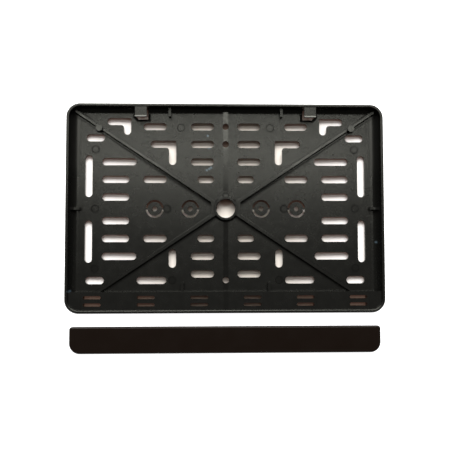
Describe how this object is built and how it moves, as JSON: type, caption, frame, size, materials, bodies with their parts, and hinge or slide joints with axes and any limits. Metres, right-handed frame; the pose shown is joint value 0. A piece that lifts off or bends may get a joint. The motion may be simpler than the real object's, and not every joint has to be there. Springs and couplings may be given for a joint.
{
  "type": "number plate holder",
  "caption": "Moulded tray for a two-row number plate with a field of screw slots, a hub with diagonal ribs, top clips, and a clip-in retaining strip laid beside it.",
  "frame": {"origin": "hub axis at the tray's flat rear ring", "axes": "+X along the plate, +Y up the plate, +Z from the vehicle towards the plate's face"},
  "size_m": [0.301, 0.2362, 0.014],
  "materials": {
    "tray_plastic": "fine matte texture",
    "strip_plastic": "smooth satin"
  },
  "bodies": {
    "root": {"base_frame": "tray_plastic", "retaining_strip": "strip_plastic"}
  },
  "joints": []
}
